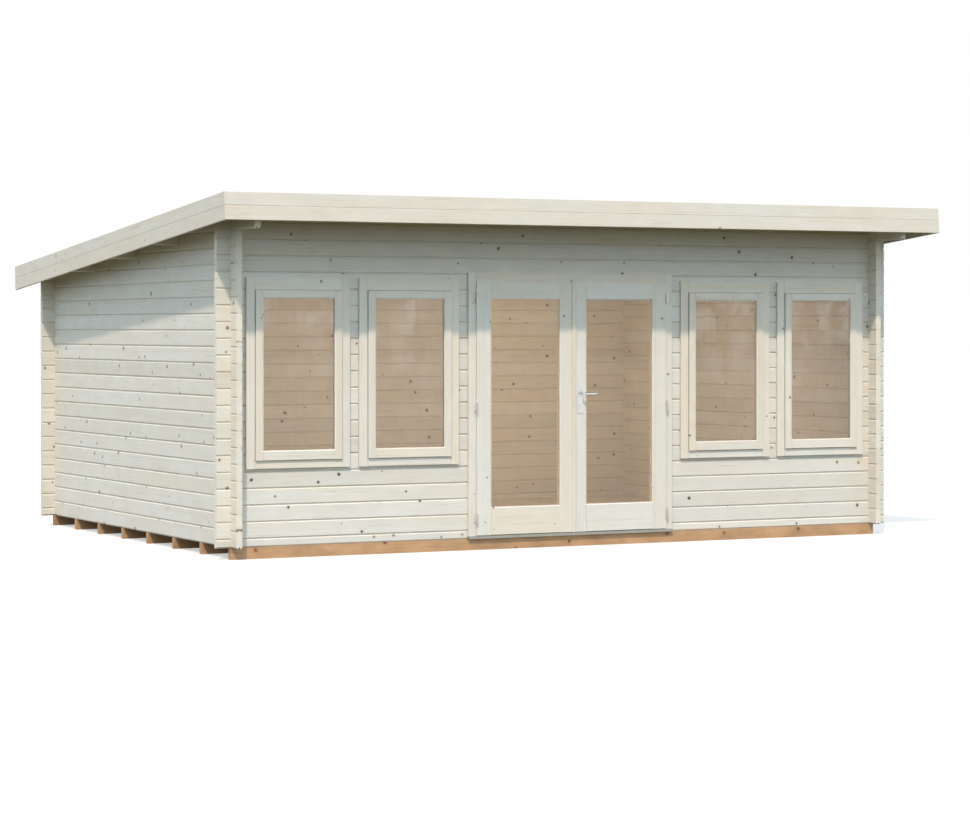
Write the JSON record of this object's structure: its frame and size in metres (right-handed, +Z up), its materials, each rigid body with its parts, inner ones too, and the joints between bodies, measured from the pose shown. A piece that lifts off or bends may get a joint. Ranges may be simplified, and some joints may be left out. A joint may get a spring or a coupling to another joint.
{
  "type": "log cabin",
  "caption": "Log cabin of interlocking notched logs with a single-slope roof, casement windows and a glazed double door that swings outward, on treated floor joists.",
  "frame": {"origin": "centre of the cabin's bounding box, at the underside of the floor joists", "axes": "+X along the front wall to the viewer's right, +Y from the front wall to the back, +Z up"},
  "size_m": [5.79, 4.5257, 2.4841],
  "materials": {
    "spruce_log": "planed bare spruce logs with knots",
    "spruce_trim": "planed bare spruce boards",
    "spruce_board": "planed bare spruce boards",
    "treated_wood": "brown pressure-treated, matt",
    "glass": "clear sheet glass",
    "hardware_steel": "satin nickel",
    "threshold_metal": "grey anodised, matt"
  },
  "bodies": {
    "cabin": {"floor_joists": "treated_wood", "floor": "spruce_board", "front_left_logs": "spruce_log", "front_right_logs": "spruce_log", "front_top_logs": "spruce_log", "rear_wall_logs": "spruce_log", "left_wall_logs": "spruce_log", "right_wall_logs": "spruce_log", "purlins": "spruce_log", "roof_deck": "spruce_board", "front_fascia": "spruce_trim", "rear_fascia": "spruce_trim", "left_fascia": "spruce_trim", "right_fascia": "spruce_trim", "door_frame": "spruce_trim", "door_casing": "spruce_trim", "door_threshold": "threshold_metal", "door_hinge_pins": "hardware_steel", "window_1_frame": "spruce_trim", "window_1_sash": "spruce_trim", "window_1_glass": "glass", "window_2_frame": "spruce_trim", "window_2_sash": "spruce_trim", "window_2_glass": "glass", "window_3_frame": "spruce_trim", "window_3_sash": "spruce_trim", "window_3_glass": "glass", "window_4_frame": "spruce_trim", "window_4_sash": "spruce_trim", "window_4_glass": "glass"},
    "left_door": {"left_leaf": "spruce_trim", "left_leaf_glass": "glass", "left_leaf_hinges": "hardware_steel", "door_cover_strip": "spruce_trim"},
    "right_door": {"right_leaf": "spruce_trim", "right_leaf_glass": "glass", "right_leaf_hinges": "hardware_steel", "handle_plates": "hardware_steel"},
    "lever": {"lever_handle": "hardware_steel"}
  },
  "joints": [
    {"name": "left_door_swing", "type": "hinge", "parent": "cabin", "child": "left_door", "pos_m": [-0.785, -1.7932, 0.105], "axis": [0, 0, -1], "range_deg": [0, 110]},
    {"name": "right_door_swing", "type": "hinge", "parent": "cabin", "child": "right_door", "pos_m": [0.785, -1.7932, 0.105], "axis": [0, 0, 1], "range_deg": [0, 110]},
    {"name": "lever_turn", "type": "hinge", "parent": "right_door", "child": "lever", "pos_m": [0.057, -1.7622, 1.106], "axis": [0, 1, 0], "range_deg": [0, 40], "stiffness_Nm_per_rad": 1.5, "springref_deg": -22.92}
  ]
}
